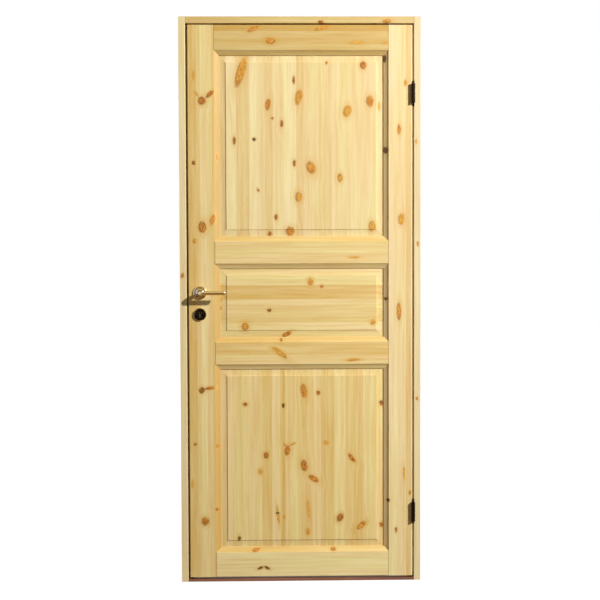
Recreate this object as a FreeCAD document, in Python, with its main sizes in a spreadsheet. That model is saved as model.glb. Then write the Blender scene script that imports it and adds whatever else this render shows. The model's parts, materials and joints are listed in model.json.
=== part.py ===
import FreeCAD, Part
import math
import os
import re

import Sketcher

# A three-panel pine interior door hung in its frame, with a lift-off hinge pair, a mortice lock
# and a lever handle on both faces.
# Millimetres. +X runs from the lock jamb to the hinge jamb, +Y from the opening face to the back,
# +Z up. The origin is on the wall side of the hinge jamb, at floor level, in the middle of its depth.

SIZES = {
    # Frame
    "frame_width": (890, "outside width of the frame"),
    "frame_height": (2090, "outside height of the frame"),
    "frame_depth": (92, "depth of the frame, front to back"),
    "jamb_thickness": (25, "thickness of the jambs and of the head"),
    "stop_thickness": (17, "thickness of the planted stops"),
    "stop_depth": (40, "depth of the planted stops, front to back"),
    "threshold_height": (10, "height of the threshold"),
    "threshold_slope": (14, "width of the bevel along the back of the threshold"),
    "threshold_edge": (4, "height of the threshold's back edge, under its bevel"),
    "arris": (2.5, "radius of the rounded edges of the frame and the leaf"),
    # Gaps round the leaf
    "lock_gap": (7, "gap between the leaf and the lock jamb"),
    "hinge_gap": (5, "gap between the leaf and the hinge jamb"),
    "head_gap": (5.5, "gap between the leaf and the head"),
    "foot_gap": (7, "gap between the leaf and the threshold"),
    "stop_gap": (5, "gap between the back of the leaf and the stop"),
    # Leaf joinery
    "leaf_thickness": (40, "thickness of the stiles and rails"),
    "lock_stile_flat": (97, "flat width of the lock stile"),
    "hinge_stile_flat": (88, "flat width of the hinge stile"),
    "top_rail_flat": (92, "flat width of the top rail"),
    "bottom_rail_flat": (92, "flat width of the bottom rail"),
    "middle_rail_flat": (82, "flat width of each middle rail"),
    "middle_opening": (291, "height of the middle opening between the flats of its rails"),
    "joint_groove": (0.8, "bevel that marks the joint between a rail and a stile"),
    # Moulding worked on the stiles and rails
    "moulding": (18.5, "width of the moulding"),
    "quirk": (1, "step down from the flat to the ovolo"),
    "ovolo_width": (17.5, "width of the ovolo"),
    "ovolo_radius": (60, "radius of the ovolo"),
    "fillet_step": (0.4, "step at the foot of the ovolo"),
    "slope_fall": (0.3, "fall of the slope past the ovolo"),
    "groove_edge": (3.5, "square edge between the slope and the panel groove"),
    # Raised panels
    "groove_width": (10, "width of the panel groove, and thickness of the panel's tongue"),
    "groove_depth": (12, "depth of the panel groove"),
    "groove_play": (2, "room for the panel to swell at the bottom of its groove"),
    "panel_thickness": (22, "thickness of a panel at its raised field"),
    "panel_margin": (25, "width of the bevelled margin round the field"),
    "field_step": (2, "step up from the margin to the field"),
    # Hinges
    "upper_hinge_drop": (250.5, "distance from the top of the leaf to the middle of the upper hinge"),
    "lower_hinge_rise": (241, "distance from the foot of the leaf to the middle of the lower hinge"),
    "knuckle_diameter": (14, "diameter of a hinge knuckle"),
    "knuckle_length": (72, "length of both knuckles of a hinge together"),
    "knuckle_gap": (0.4, "gap between the two knuckles of a hinge"),
    "knuckle_clearance": (1, "gap between a hinge knuckle and the plane of the face"),
    "pin_diameter": (7, "diameter of the hinge pin"),
    "pin_height": (26, "height of the pin above the frame half's knuckle"),
    "pin_play": (0.08, "radial clearance of the hinge pin in its knuckle"),
    "flap_height": (92, "height of a hinge flap"),
    "flap_width": (30, "width of a hinge flap, from the face of the leaf inwards"),
    "flap_thickness": (2.5, "thickness of a hinge flap"),
    # Lock
    "backset": (42, "distance of the spindle from the edge of the leaf"),
    "case_margin": (35, "height of the lock case past the spindle and past the keyhole"),
    "case_tail": (31, "depth of the lock case past the spindle"),
    "case_thickness": (14, "thickness of the lock case"),
    "case_play": (0.5, "room round the lock case in its mortice"),
    "plate_overhang": (17.5, "height of the face plate past each end of the lock case"),
    "plate_width": (20, "width of the face plate and of the strike plate"),
    "plate_thickness": (3, "thickness of the face plate and of the strike plate"),
    "strike_margin": (18, "height of the strike plate past the spindle and past the keyhole"),
    "bolt_inset": (5, "distance of each bolt from the spindle or the keyhole, towards the other"),
    "latch_height": (22, "height of the latch bolt"),
    "bolt_height": (20, "height of the dead bolt"),
    "bolt_thickness": (10, "thickness of the latch and the dead bolt"),
    "bolt_length": (24, "length of the latch and the dead bolt"),
    "bolt_play": (0.3, "clearance of a bolt in the face plate and the case"),
    "strike_play": (2, "room round a bolt in the strike plate"),
    "strike_pocket": (14, "depth of the pockets behind the strike plate"),
    # Handles
    "lever_height": (1077, "height of the spindle above the floor"),
    "key_drop": (80, "distance from the spindle down to the keyhole"),
    "rose_diameter": (50, "diameter of a rose and of a key escutcheon"),
    "rose_thickness": (7, "thickness of a rose and of a key escutcheon"),
    "rose_taper": (2.5, "how far the edge of a rose leans in towards its front"),
    "bar_diameter": (15, "diameter of the round bar of a lever"),
    "tip_bevel": (2, "bevel at the tip of a lever"),
    "neck_play": (1, "radial clearance of the neck in its rose"),
    "neck_gap": (0.5, "gap between the end of the neck and the leaf"),
    "lever_standoff": (50, "distance of the lever's grip in front of the leaf"),
    "lever_length": (98, "length of the lever from the spindle to its tip"),
    "lever_bend": (13, "radius of the bend in the lever"),
    "spindle_side": (8, "side of the square spindle"),
    "spindle_reach": (24, "length of the spindle past each face of the leaf"),
    "spindle_play": (0.8, "clearance of the spindle's corners in the lock case"),
    "bore_margin": (2.5, "room round the spindle and the keyhole in the stile"),
    "keyhole_bulb": (7.5, "diameter of the round part of the keyhole"),
    "keyhole_slot": (3.6, "width of the straight part of the keyhole"),
    "keyhole_length": (17, "height of the keyhole"),
    # Frame screws
    "screw_bore": (14, "diameter of the frame screw holes"),
    "screw_spacing": (600, "distance between the frame screw holes"),
    "screw_lift": (110, "height of the lock jamb's screw holes above the hinge jamb's"),
}

# Places worked out from the sizes, in words that the rest of the source uses
PLACES = {
    "face": "-frame_depth / 2",
    "back": "frame_depth / 2",
    "leaf_back": "face + leaf_thickness",
    "stop_front": "leaf_back + stop_gap",
    "stop_back": "stop_front + stop_depth",
    "leaf_middle": "face + leaf_thickness / 2",
    "jamb_right": "-jamb_thickness",
    "jamb_left": "jamb_thickness - frame_width",
    "head_foot": "frame_height - jamb_thickness",
    "leaf_right": "jamb_right - hinge_gap",
    "leaf_left": "jamb_left + lock_gap",
    "leaf_foot": "threshold_height + foot_gap",
    "leaf_top": "head_foot - head_gap",
    "stile_right": "leaf_right - hinge_stile_flat",
    "stile_left": "leaf_left + lock_stile_flat",
    "tall_opening": "(leaf_top - leaf_foot - top_rail_flat - bottom_rail_flat"
                    " - 2 * middle_rail_flat - middle_opening) / 2",
    "lower_opening_foot": "leaf_foot + bottom_rail_flat",
    "lower_opening_top": "lower_opening_foot + tall_opening",
    "middle_opening_foot": "lower_opening_top + middle_rail_flat",
    "middle_opening_top": "middle_opening_foot + middle_opening",
    "upper_opening_foot": "middle_opening_top + middle_rail_flat",
    "upper_opening_top": "leaf_top - top_rail_flat",
    "groove_lip": "(leaf_thickness - groove_width) / 2",
    "field_depth": "(leaf_thickness - panel_thickness) / 2",
    "slope_foot": "groove_lip - groove_edge",
    "ovolo_foot": "slope_foot - slope_fall - fillet_step",
    "upper_hinge_height": "leaf_top - upper_hinge_drop",
    "lower_hinge_height": "leaf_foot + lower_hinge_rise",
    "hinge_x": "jamb_right - hinge_gap / 2",
    "hinge_y": "face - knuckle_clearance - knuckle_diameter / 2",
    "spindle_x": "leaf_left + backset",
    "keyhole_height": "lever_height - key_drop",
    "lock_middle": "lever_height - key_drop / 2",
    "case_front": "leaf_left + plate_thickness",
    "case_half_height": "key_drop / 2 + case_margin",
    "case_depth": "backset + case_tail - plate_thickness",
    "plate_half_height": "case_half_height + plate_overhang",
    "strike_half_height": "key_drop / 2 + strike_margin",
    "latch_middle": "lever_height - bolt_inset",
    "dead_bolt_middle": "keyhole_height + bolt_inset",
    "follower_bore": "spindle_side * 1.4142 + 2 * spindle_play",
    "spindle_bore": "follower_bore + 2 * bore_margin",
    "key_bore": "keyhole_length + bore_margin",
}

NORMAL_SIGN = {"XY_Plane": "", "YZ_Plane": "", "XZ_Plane": "-"}

doc = FreeCAD.newDocument("interior_door")
sheet = doc.addObject("Spreadsheet::Sheet", "Sizes")
for row, (alias, (value, meaning)) in enumerate(SIZES.items(), start=1):
    sheet.set(f"A{row}", meaning)
    sheet.set(f"B{row}", str(value))
    sheet.setAlias(f"B{row}", alias)
doc.recompute()


def formula(text):
    """Turn words for sizes and places into an expression on the sheet's cells."""
    def cell(word):
        name = word[0]
        if name in PLACES:
            return f"({formula(PLACES[name])})"
        return f"Sizes.{name}" if name in SIZES else name
    return re.sub(r"[a-z][a-z_]+", cell, str(text))


def number(text):
    """The present value of a formula."""
    return float(sheet.evalExpression(formula(text)))


def new_body(name):
    body = doc.addObject("PartDesign::Body", name)
    body.Label = name
    return body


def new_sketch(body, name, plane, height="0", centre=("0", "0")):
    """An empty sketch on one of the body's own planes, moved out to height and to centre."""
    sketch = body.newObject("Sketcher::SketchObject", name)
    base = next(part for part in body.Origin.OriginFeatures if part.Role == plane)
    sketch.AttachmentSupport = [(base, "")]
    sketch.MapMode = "FlatFace"
    sketch.setExpression("AttachmentOffset.Base.x", formula(centre[0]))
    sketch.setExpression("AttachmentOffset.Base.y", formula(centre[1]))
    sketch.setExpression("AttachmentOffset.Base.z", f"{NORMAL_SIGN[plane]}({formula(height)})")
    return sketch


def hold(sketch, kind, geometry, end, value):
    """Tie one coordinate of a point to a formula."""
    index = sketch.addConstraint(Sketcher.Constraint(kind, -1, 1, geometry, end, number(value)))
    sketch.setExpression(f"Constraints[{index}]", formula(value))


def outline(sketch, corners):
    """Draw a closed outline. A corner is (x, y), or (x, y, radius) where an arc leads to the next
    corner. The arc turns counter-clockwise, or clockwise where its radius starts with a minus."""
    points = [FreeCAD.Vector(number(corner[0]), number(corner[1]), 0) for corner in corners]
    start_ends = []
    for index, corner in enumerate(corners):
        start = points[index]
        end = points[(index + 1) % len(points)]
        if len(corner) == 2:
            geometry = sketch.addGeometry(Part.LineSegment(start, end), False)
            start_ends.append((geometry, 1, 2))
            continue
        clockwise = corner[2].startswith("-")
        size = corner[2].lstrip("-")
        radius = number(size)
        chord = end - start
        rise = math.sqrt(max(radius ** 2 - (chord.Length / 2) ** 2, 0))
        side = FreeCAD.Vector(-chord.y, chord.x, 0).normalize() * (-1 if clockwise else 1)
        middle = start + chord * 0.5
        crest = middle + side * (rise - radius)
        geometry = sketch.addGeometry(Part.Arc(start, crest, end), False)
        start_ends.append((geometry, 2, 1) if clockwise else (geometry, 1, 2))
        index = sketch.addConstraint(Sketcher.Constraint("Radius", geometry, radius))
        sketch.setExpression(f"Constraints[{index}]", formula(size))
    for index, (geometry, start, end) in enumerate(start_ends):
        following, next_start, _ = start_ends[(index + 1) % len(start_ends)]
        sketch.addConstraint(Sketcher.Constraint("Coincident", geometry, end, following, next_start))
        hold(sketch, "DistanceX", geometry, start, corners[index][0])
        hold(sketch, "DistanceY", geometry, start, corners[index][1])
    return sketch


def ring(sketch, diameter, x="0", y="0"):
    """Draw a circle round a point."""
    centre = FreeCAD.Vector(number(x), number(y), 0)
    circle = Part.Circle(centre, FreeCAD.Vector(0, 0, 1), number(diameter) / 2)
    geometry = sketch.addGeometry(circle, False)
    index = sketch.addConstraint(Sketcher.Constraint("Diameter", geometry, number(diameter)))
    sketch.setExpression(f"Constraints[{index}]", formula(diameter))
    hold(sketch, "DistanceX", geometry, 3, x)
    hold(sketch, "DistanceY", geometry, 3, y)
    return sketch


def box_outline(sketch, low_x, high_x, low_y, high_y):
    return outline(sketch, [(low_x, low_y), (high_x, low_y), (high_x, high_y), (low_x, high_y)])


def rounded(corners, *picked, radius="arris"):
    """Replace the picked square corners of an outline by quarter rounds."""
    points = [FreeCAD.Vector(number(corner[0]), number(corner[1]), 0) for corner in corners]
    result = []
    for index, corner in enumerate(corners):
        if index not in picked:
            result.append(corner)
            continue
        arriving = (points[index] - points[index - 1]).normalize()
        leaving = (points[(index + 1) % len(points)] - points[index]).normalize()
        sign = "" if arriving.x * leaving.y > arriving.y * leaving.x else "-"
        before = [f"{corner[axis]} - ({round(arriving[axis])}) * {radius}" for axis in (0, 1)]
        after = [f"{corner[axis]} + ({round(leaving[axis])}) * {radius}" for axis in (0, 1)]
        result.append((before[0], before[1], sign + radius))
        result.append((after[0], after[1]))
    return result


def pad(body, sketch, length, reverse=False):
    feature = body.newObject("PartDesign::Pad", sketch.Name + "_pad")
    feature.Profile = sketch
    feature.setExpression("Length", formula(length))
    feature.Reversed = reverse
    body.Tip = feature
    return feature


def pocket(body, sketch, depth, reverse=False):
    """Cut a sketch into a body, and make sure that it takes something away."""
    doc.recompute()
    before = body.Shape.Volume
    feature = body.newObject("PartDesign::Pocket", sketch.Name + "_cut")
    feature.Profile = sketch
    feature.setExpression("Length", formula(depth))
    feature.Reversed = reverse
    body.Tip = feature
    doc.recompute()
    if not body.Shape.Volume < before - 1e-3:
        raise RuntimeError(f"{sketch.Name} cuts nothing")
    return feature


def turn(body, sketch):
    """Turn a sketch round its own upright axis."""
    feature = body.newObject("PartDesign::Revolution", sketch.Name + "_turned")
    feature.Profile = sketch
    feature.ReferenceAxis = (sketch, ["V_Axis"])
    feature.Angle = 360
    body.Tip = feature
    return feature


def crossed(name, first, second):
    """The solid that two outlines drawn on crossing planes have in common."""
    for body in (first, second):
        body.Label = body.Name
    piece = doc.addObject("Part::Common", name)
    piece.Label = name
    piece.Base = first
    piece.Tool = second
    return piece


def sticking():
    """The worked edge of a stile or rail, front to back: distance past the flat, depth."""
    front = [
        ("0", "0"),
        ("0", "quirk", "ovolo_radius"),
        ("ovolo_width", "ovolo_foot"),
        ("ovolo_width", "ovolo_foot + fillet_step"),
        ("moulding", "slope_foot"),
        ("moulding", "groove_lip"),
        ("moulding - groove_depth", "groove_lip"),
    ]
    rear = [(corner[0], f"leaf_thickness - ({corner[1]})") for corner in reversed(front)]
    rear[4] = rear[4] + ("ovolo_radius",)
    return front + rear


def edge_run(flat, outward, across_first=True):
    """The worked edge placed at a flat's edge; outward is 1 or -1 towards the panel."""
    run = []
    for corner in sticking():
        along = f"{flat} + ({outward}) * ({corner[0]})"
        depth = f"face + {corner[1]}"
        place = (along, depth) if across_first else (depth, along)
        clockwise = (outward > 0) == across_first
        arc = (("-" if clockwise else "") + corner[2],) if len(corner) == 3 else ()
        run.append(place + arc)
    return run


def cope_run(flat, outward):
    """The end of a rail: it fits over the stile's worked edge and fills its groove."""
    run = edge_run(flat, outward)
    run[0] = (f"{flat} + ({outward}) * joint_groove", "face")
    run.insert(1, (flat, "face + joint_groove"))
    run[-1] = (f"{flat} + ({outward}) * joint_groove", "leaf_back")
    run.insert(-1, (flat, "leaf_back - joint_groove"))
    return run


def backwards(run):
    """The same run of corners in the other direction, with its arcs turned round."""
    turned = []
    for index in range(len(run) - 1, -1, -1):
        arc = ()
        if index and len(run[index - 1]) == 3:
            size = run[index - 1][2]
            arc = (size[1:] if size.startswith("-") else "-" + size,)
        turned.append(run[index][:2] + arc)
    return turned


def stile(name, flat_edge, outer_edge, outward):
    """A full-height stile with a worked and grooved inner edge and a rounded outer edge."""
    body = new_body(name)
    corners = edge_run(flat_edge, outward) + [(outer_edge, "leaf_back"), (outer_edge, "face")]
    corners = rounded(corners, len(corners) - 2, len(corners) - 1)
    sketch = outline(new_sketch(body, name + "_plan", "XY_Plane", "leaf_foot"), corners)
    pad(body, sketch, "leaf_top - leaf_foot")
    return body


def rail(name, low_flat, high_flat, low_worked, high_worked):
    """A rail coped to both stiles, with its panel edges worked and grooved."""
    section = new_body(name + "_section")
    low = edge_run(low_flat, -1, across_first=False)
    high = edge_run(high_flat, 1, across_first=False)
    if not low_worked:
        low = [("face", low_flat), ("leaf_back", low_flat)]
    if not high_worked:
        high = [("face", high_flat), ("leaf_back", high_flat)]
    corners = low + backwards(high)
    if not low_worked:
        corners = rounded(corners, 0, 1)
    if not high_worked:
        corners = rounded(corners, len(corners) - 2, len(corners) - 1)
    sketch = outline(new_sketch(section, name + "_edge", "YZ_Plane", "stile_left"), corners)
    pad(section, sketch, "stile_right - stile_left")
    plan = new_body(name + "_plan")
    corners = cope_run("stile_left", 1) + backwards(cope_run("stile_right", -1))
    foot = f"{low_flat} - moulding"
    sketch = outline(new_sketch(plan, name + "_ends", "XY_Plane", foot), corners)
    pad(plan, sketch, f"({high_flat}) - ({low_flat}) + 2 * moulding")
    return crossed(name, section, plan)


def panel_run(low_flat, high_flat, across_first):
    """The outline of a raised panel between two flats."""
    def side(flat, outward):
        return [
            (f"{flat} + ({outward}) * (moulding - groove_depth + groove_play)", "groove_lip"),
            (f"{flat} + ({outward}) * moulding", "groove_lip"),
            (f"{flat} + ({outward}) * (moulding + panel_margin)", "field_depth + field_step"),
            (f"{flat} + ({outward}) * (moulding + panel_margin)", "field_depth"),
        ]
    front = side(low_flat, 1) + side(high_flat, -1)[::-1]
    rear = [(along, f"leaf_thickness - ({depth})") for along, depth in front[::-1]]
    run = [(along, f"face + {depth}") for along, depth in front + rear]
    return run if across_first else [(depth, along) for along, depth in run]


def raised_panel(name, low_flat, high_flat):
    """A panel with a raised field and a bevelled margin, mitred at its corners."""
    upright = new_body(name + "_section")
    sketch = new_sketch(upright, name + "_height", "YZ_Plane", "stile_left")
    pad(upright, outline(sketch, panel_run(low_flat, high_flat, False)), "stile_right - stile_left")
    level = new_body(name + "_plan")
    sketch = new_sketch(level, name + "_width", "XY_Plane", low_flat)
    pad(level, outline(sketch, panel_run("stile_left", "stile_right", True)),
        f"({high_flat}) - ({low_flat})")
    return crossed(name, upright, level)


def hinge_pocket(body, name, x, height, inward):
    """A recess for a hinge flap in the edge of the leaf or the jamb."""
    sketch = new_sketch(body, name, "YZ_Plane", x)
    box_outline(sketch, "face - 1", "face + flap_width", f"{height} - flap_height / 2",
                f"{height} + flap_height / 2")
    pocket(body, sketch, "flap_thickness", reverse=inward)


def bore(body, name, diameter, x, z):
    """A round hole through the thickness of the leaf."""
    sketch = ring(new_sketch(body, name, "XZ_Plane", "face"), diameter, x, z)
    pocket(body, sketch, "leaf_thickness")


def jamb(name, wall, inner):
    """An upright board of the frame, with the edges of its inner face rounded."""
    body = new_body(name)
    corners = [(wall, "face"), (inner, "face"), (inner, "back"), (wall, "back")]
    sketch = new_sketch(body, name + "_plan", "XY_Plane")
    pad(body, outline(sketch, rounded(corners, 1, 2)), "frame_height")
    return body


def jamb_stop(name, seat, inward):
    """A stop planted on a jamb; inward is 1 or -1 towards the doorway."""
    body = new_body(name)
    edge = f"{seat} + ({inward}) * stop_thickness"
    corners = [(seat, "stop_front"), (edge, "stop_front"), (edge, "stop_back"), (seat, "stop_back")]
    sketch = new_sketch(body, name + "_plan", "XY_Plane", "threshold_height")
    pad(body, outline(sketch, rounded(corners, 1, 2)), "head_foot - stop_thickness - threshold_height")
    return body


def between_jambs(name, corners):
    """A board of the given section that reaches from jamb to jamb."""
    body = new_body(name)
    sketch = new_sketch(body, name + "_section", "YZ_Plane", "jamb_left")
    pad(body, outline(sketch, corners), "jamb_right - jamb_left")
    return body


def screw_holes(body, name, face, depth, lift):
    """Holes for frame screws through a jamb."""
    sketch = new_sketch(body, name, "YZ_Plane", face)
    for step in (-1, 0, 1):
        ring(sketch, "screw_bore", "leaf_middle", f"frame_height / 2 + {lift} + ({step}) * screw_spacing")
    pocket(body, sketch, depth, reverse=True)


def frame():
    hinge_side = jamb("hinge_jamb", "0", "jamb_right")
    for name, height in (("upper", "upper_hinge_height"), ("lower", "lower_hinge_height")):
        hinge_pocket(hinge_side, name + "_flap_recess", "jamb_right", height, inward=True)
    screw_holes(hinge_side, "hinge_side_screws", "jamb_right", "jamb_thickness", "0")
    lock_side = jamb("lock_jamb", "-frame_width", "jamb_left")
    screw_holes(lock_side, "lock_side_screws", "-frame_width", "jamb_thickness", "screw_lift")
    recess = new_sketch(lock_side, "strike_recess", "YZ_Plane", "jamb_left")
    pocket(lock_side, box_outline(recess, *plate_edges("strike_half_height")), "plate_thickness")
    for name, middle, height in bolts():
        cavity = new_sketch(lock_side, name + "_cavity", "YZ_Plane", "jamb_left")
        box_outline(cavity, *window(middle, height, "strike_play"))
        pocket(lock_side, cavity, "strike_pocket")
    head = [("face", "head_foot"), ("back", "head_foot"), ("back", "frame_height"),
            ("face", "frame_height")]
    stop = [("stop_front", "head_foot - stop_thickness"), ("stop_back", "head_foot - stop_thickness"),
            ("stop_back", "head_foot"), ("stop_front", "head_foot")]
    sill = [("face", "0"), ("back", "0"), ("back", "threshold_edge"),
            ("back - threshold_slope", "threshold_height"), ("face", "threshold_height")]
    return [
        hinge_side,
        lock_side,
        jamb_stop("hinge_jamb_stop", "jamb_right", -1),
        jamb_stop("lock_jamb_stop", "jamb_left", 1),
        between_jambs("frame_head", rounded(head, 0, 1)),
        between_jambs("head_stop", rounded(stop, 0, 1)),
        between_jambs("threshold", rounded(sill, 4)),
    ]


def plate_edges(half_height):
    """The edges of a lock plate, seen from the side."""
    return ("leaf_middle - plate_width / 2", "leaf_middle + plate_width / 2",
            f"lock_middle - {half_height}", f"lock_middle + {half_height}")


def case_edges(play):
    """The edges of the lock case, seen from the side, with some room round it."""
    return ("leaf_middle - case_thickness / 2", "leaf_middle + case_thickness / 2",
            f"lock_middle - case_half_height - {play}", f"lock_middle + case_half_height + {play}")


def bolts():
    return (("latch", "latch_middle", "latch_height"), ("dead_bolt", "dead_bolt_middle", "bolt_height"))


def window(middle, height, play):
    """The edges of a window round a bolt."""
    return (f"leaf_middle - bolt_thickness / 2 - {play}", f"leaf_middle + bolt_thickness / 2 + {play}",
            f"{middle} - {height} / 2 - {play}", f"{middle} + {height} / 2 + {play}")


def leaf_joinery():
    lock_side = stile("lock_stile", "stile_left", "leaf_left", 1)
    hinge_side = stile("hinge_stile", "stile_right", "leaf_right", -1)
    for name, height in (("upper", "upper_hinge_height"), ("lower", "lower_hinge_height")):
        hinge_pocket(hinge_side, name + "_leaf_recess", "leaf_right", height, inward=False)
    mortice = new_sketch(lock_side, "lock_mortice", "YZ_Plane", "leaf_left")
    pocket(lock_side, box_outline(mortice, *case_edges("case_play")),
           "plate_thickness + case_depth + case_play", reverse=True)
    recess = new_sketch(lock_side, "face_plate_recess", "YZ_Plane", "leaf_left")
    pocket(lock_side, box_outline(recess, *plate_edges("plate_half_height")), "plate_thickness",
           reverse=True)
    bore(lock_side, "spindle_hole", "spindle_bore", "spindle_x", "lever_height")
    bore(lock_side, "key_hole", "key_bore", "spindle_x", "keyhole_height")
    return [
        lock_side,
        hinge_side,
        rail("bottom_rail", "leaf_foot", "lower_opening_foot", False, True),
        rail("lower_middle_rail", "lower_opening_top", "middle_opening_foot", True, True),
        rail("upper_middle_rail", "middle_opening_top", "upper_opening_foot", True, True),
        rail("top_rail", "upper_opening_top", "leaf_top", True, False),
        raised_panel("lower_panel", "lower_opening_foot", "lower_opening_top"),
        raised_panel("middle_panel", "middle_opening_foot", "middle_opening_top"),
        raised_panel("upper_panel", "upper_opening_foot", "upper_opening_top"),
    ]


def hinge_half(name, height, flap_x, inward, foot, top):
    """One half of a lift-off hinge: a flap let into the wood and a knuckle in front of the gap."""
    body = new_body(name)
    flap = new_sketch(body, name + "_flap", "YZ_Plane", flap_x)
    box_outline(flap, "face", "face + flap_width", f"{height} - flap_height / 2",
                f"{height} + flap_height / 2")
    pad(body, flap, "flap_thickness", reverse=not inward)
    web = new_sketch(body, name + "_web", "YZ_Plane", flap_x)
    box_outline(web, "hinge_y + knuckle_diameter / 4", "face + flap_width / 2", foot, top)
    pad(body, web, "flap_thickness", reverse=not inward)
    knuckle = new_sketch(body, name + "_knuckle", "XY_Plane", foot)
    pad(body, ring(knuckle, "knuckle_diameter", "hinge_x", "hinge_y"), f"{top} - ({foot})")
    return body


def hinge(name, height):
    """A lift-off hinge: the frame half carries the pin, and the door half is lifted off it."""
    foot = f"{height} - knuckle_length / 2"
    middle = f"{height} - knuckle_gap / 2"
    top = f"{height} + knuckle_length / 2"
    on_frame = hinge_half(name + "_frame_half", height, "jamb_right", True, foot, middle)
    pin = new_sketch(on_frame, name + "_pin", "XY_Plane", middle)
    pad(on_frame, ring(pin, "pin_diameter", "hinge_x", "hinge_y"), "pin_height")
    on_leaf = hinge_half(name + "_door_half", height, "leaf_right", False,
                         f"{middle} + knuckle_gap", top)
    socket = new_sketch(on_leaf, name + "_socket", "XY_Plane", f"{middle} + knuckle_gap")
    ring(socket, "pin_diameter + 2 * pin_play", "hinge_x", "hinge_y")
    pocket(on_leaf, socket, "pin_height + knuckle_gap", reverse=True)
    return [on_frame, on_leaf]


def slab(name, edges, x, thickness, reverse=False):
    """A flat piece with the given edges, seen from the side, that starts at x."""
    body = new_body(name)
    sketch = new_sketch(body, name + "_side", "YZ_Plane", x)
    pad(body, box_outline(sketch, *edges), thickness, reverse=reverse)
    return body


def lock():
    """The lock case in its mortice, its face plate, its two bolts drawn back, and the strike plate."""
    case = slab("lock_case", case_edges("0"), "case_front", "case_depth")
    plate = slab("lock_face_plate", plate_edges("plate_half_height"), "leaf_left", "plate_thickness")
    strike = slab("strike_plate", plate_edges("strike_half_height"), "jamb_left", "plate_thickness",
                  reverse=True)
    pieces = [case, plate, strike]
    for name, middle, height in bolts():
        for body, start, depth, play, reverse in (
                (case, "case_front", "bolt_length + bolt_play", "bolt_play", True),
                (plate, "leaf_left", "plate_thickness", "bolt_play", True),
                (strike, "jamb_left", "plate_thickness", "strike_play", False)):
            sketch = new_sketch(body, f"{name}_window_{body.Name}", "YZ_Plane", start)
            pocket(body, box_outline(sketch, *window(middle, height, play)), depth, reverse=reverse)
        bolt = "dead_bolt" if name == "dead_bolt" else "latch_bolt"
        pieces.append(slab(bolt, window(middle, height, "0"), "leaf_left", "bolt_length"))
    bore(case, "follower_hole", "follower_bore", "spindle_x", "lever_height")
    keyhole(case, "face", "leaf_thickness")
    return pieces


def rose(name, side, height, hole):
    """A round tapered plate on the face of the leaf; side is -1 for the front and 1 for the back."""
    body = new_body(name)
    seat = "face" if side < 0 else "leaf_back"
    sketch = new_sketch(body, name + "_half", "XY_Plane", height, ("spindle_x", seat))
    radius = "rose_diameter / 2"
    corners = [(hole, "0"), (radius, "0"), (f"{radius} - rose_taper", f"({side}) * rose_thickness"),
               (hole, f"({side}) * rose_thickness")]
    turn(body, outline(sketch, corners))
    return body


def keyhole(body, y, depth):
    """Cut a keyhole from y towards the back: a round bulb above a straight slot."""
    bulb = new_sketch(body, body.Name + "_bulb", "XZ_Plane", y)
    ring(bulb, "keyhole_bulb", "spindle_x", "keyhole_height + keyhole_length / 2 - keyhole_bulb / 2")
    pocket(body, bulb, depth)
    slot = new_sketch(body, body.Name + "_slot", "XZ_Plane", y)
    box_outline(slot, "spindle_x - keyhole_slot / 2", "spindle_x + keyhole_slot / 2",
                "keyhole_height - keyhole_length / 2", "keyhole_height + keyhole_length / 4")
    pocket(body, slot, depth)


def escutcheon(name, side):
    """A rose for the key, with a keyhole cut through it."""
    body = rose(name, side, "keyhole_height", "0")
    keyhole(body, "face - rose_thickness" if side < 0 else "leaf_back", "rose_thickness")
    return body


def lever(name, side):
    """A round bar bent from the neck into the grip, with a bevelled tip and a square socket."""
    body = new_body(name)
    seat = "face" if side < 0 else "leaf_back"
    start = f"{seat} + ({side}) * neck_gap"
    grip = f"{seat} + ({side}) * lever_standoff"
    section = ring(new_sketch(body, name + "_section", "XZ_Plane", start), "bar_diameter",
                   "spindle_x", "lever_height")
    path = new_sketch(body, name + "_path", "XY_Plane", "lever_height")
    bend = number("lever_bend")
    x, y0, y1 = number("spindle_x"), number(start), number(grip)
    tip = number("spindle_x + lever_length")
    vector = FreeCAD.Vector
    corner = vector(x + bend, y1 - side * bend, 0)
    half = bend * math.sqrt(0.5)
    path.addGeometry(Part.LineSegment(vector(x, y0, 0), vector(x, corner.y, 0)), False)
    arc = Part.Arc(vector(x, corner.y, 0), vector(corner.x - half, corner.y + side * half, 0),
                   vector(corner.x, y1, 0))
    path.addGeometry(arc, False)
    path.addGeometry(Part.LineSegment(vector(corner.x, y1, 0), vector(tip, y1, 0)), False)
    first, last = (1, 2) if side < 0 else (2, 1)
    path.addConstraint(Sketcher.Constraint("Tangent", 0, 2, 1, first))
    path.addConstraint(Sketcher.Constraint("Tangent", 1, last, 2, 1))
    path.addConstraint(Sketcher.Constraint("Vertical", 0))
    path.addConstraint(Sketcher.Constraint("Horizontal", 2))
    index = path.addConstraint(Sketcher.Constraint("Radius", 1, bend))
    path.setExpression(f"Constraints[{index}]", formula("lever_bend"))
    hold(path, "DistanceX", 0, 1, "spindle_x")
    hold(path, "DistanceY", 0, 1, start)
    hold(path, "DistanceX", 2, 2, "spindle_x + lever_length")
    hold(path, "DistanceY", 2, 2, grip)
    doc.recompute()
    bar = body.newObject("PartDesign::AdditivePipe", name + "_bar")
    bar.Profile = section
    bar.Spine = path
    body.Tip = bar
    doc.recompute()
    ends = [f"Edge{index + 1}" for index, edge in enumerate(bar.Shape.Edges)
            if abs(edge.BoundBox.XMin - tip) < 1e-3 and edge.BoundBox.XLength < 1e-3]
    tip_edge = body.newObject("PartDesign::Chamfer", name + "_tip")
    tip_edge.Base = (bar, ends)
    tip_edge.setExpression("Size", formula("tip_bevel"))
    body.Tip = tip_edge
    doc.recompute()
    socket = new_sketch(body, name + "_socket", "XZ_Plane", start)
    box_outline(socket, *spindle_edges())
    pocket(body, socket, "spindle_reach + 1 - neck_gap", reverse=side < 0)
    return body


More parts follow.
